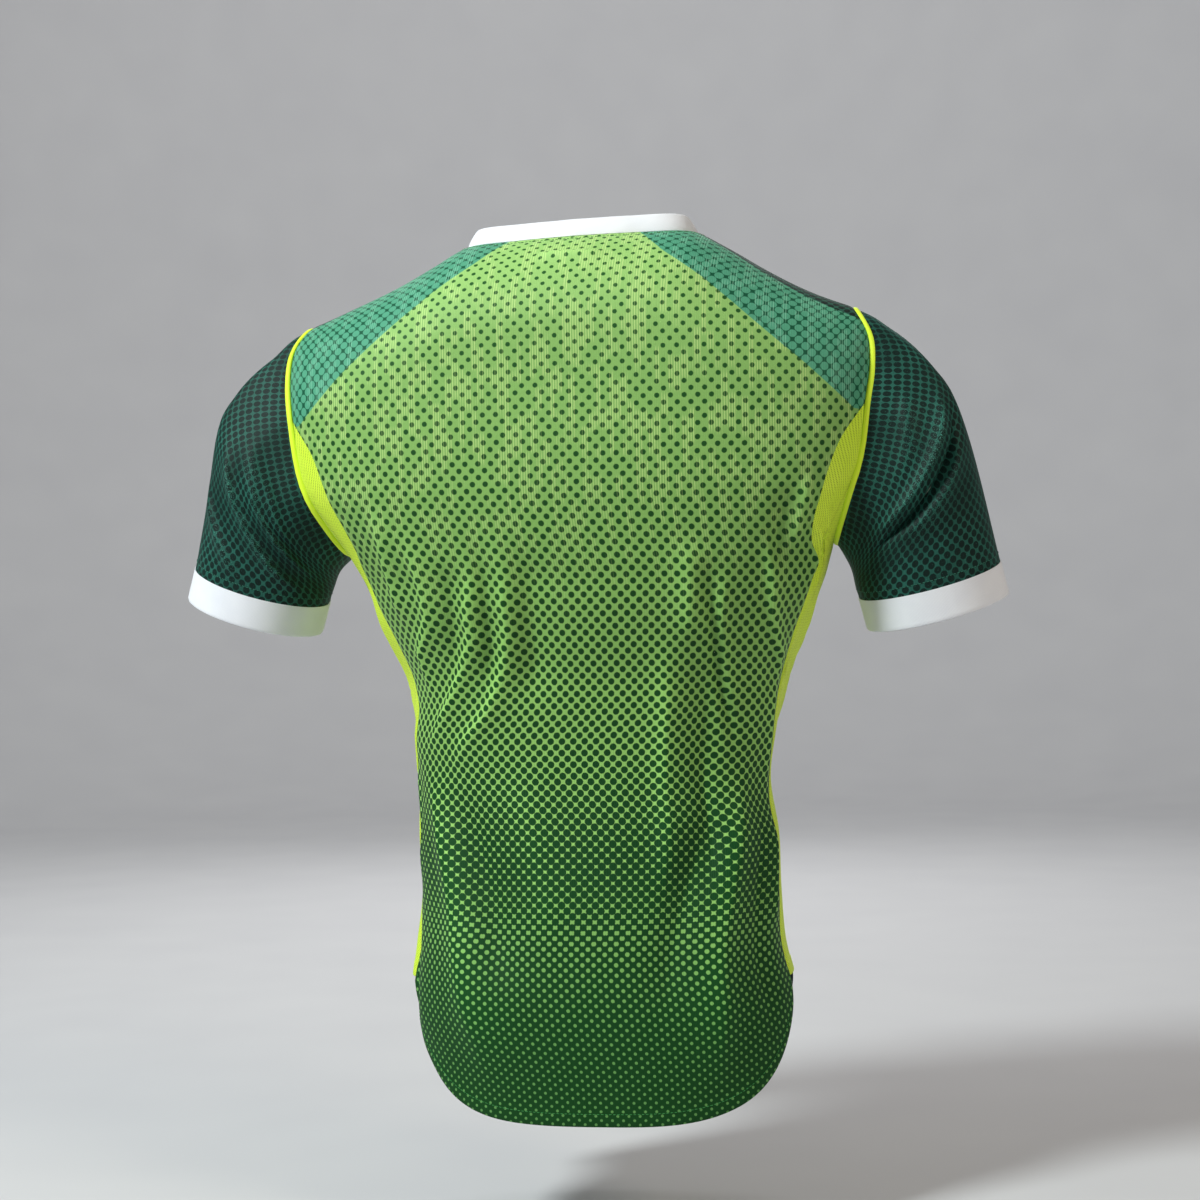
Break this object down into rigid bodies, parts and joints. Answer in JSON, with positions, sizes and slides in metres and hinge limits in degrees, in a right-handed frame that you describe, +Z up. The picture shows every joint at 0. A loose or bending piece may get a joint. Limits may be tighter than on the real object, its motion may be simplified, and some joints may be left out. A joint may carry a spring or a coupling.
{
  "type": "football jersey",
  "caption": "Short-sleeved football jersey in its worn hollow form, with halftone dots, mesh side panels, a white collar band, white cuffs and a drop-tail hem.",
  "frame": {"origin": "midway between the two points where the shoulders meet the collar, level with them, where the wearer's shoulders carry the jersey", "axes": "+Z up the wearer, +X to the wearer's left, +Y to the wearer's back"},
  "size_m": [0.7192, 0.2483, 0.7505],
  "materials": {
    "back_print": "halftone print on knit",
    "front_print": "halftone print on knit",
    "sleeve_print": "halftone print on knit",
    "white_band": "smooth plain knit",
    "neon_mesh": "fine mesh knit",
    "neon_piping": "smooth tape"
  },
  "bodies": {
    "root": {"back_panel": "back_print", "front_panel": "front_print", "side_panel_left": "neon_mesh", "side_panel_right": "neon_mesh", "piping_left": "neon_piping", "piping_right": "neon_piping", "sleeve_left": "sleeve_print", "sleeve_right": "sleeve_print", "cuff_left": "white_band", "cuff_right": "white_band", "collar": "white_band"}
  },
  "joints": []
}
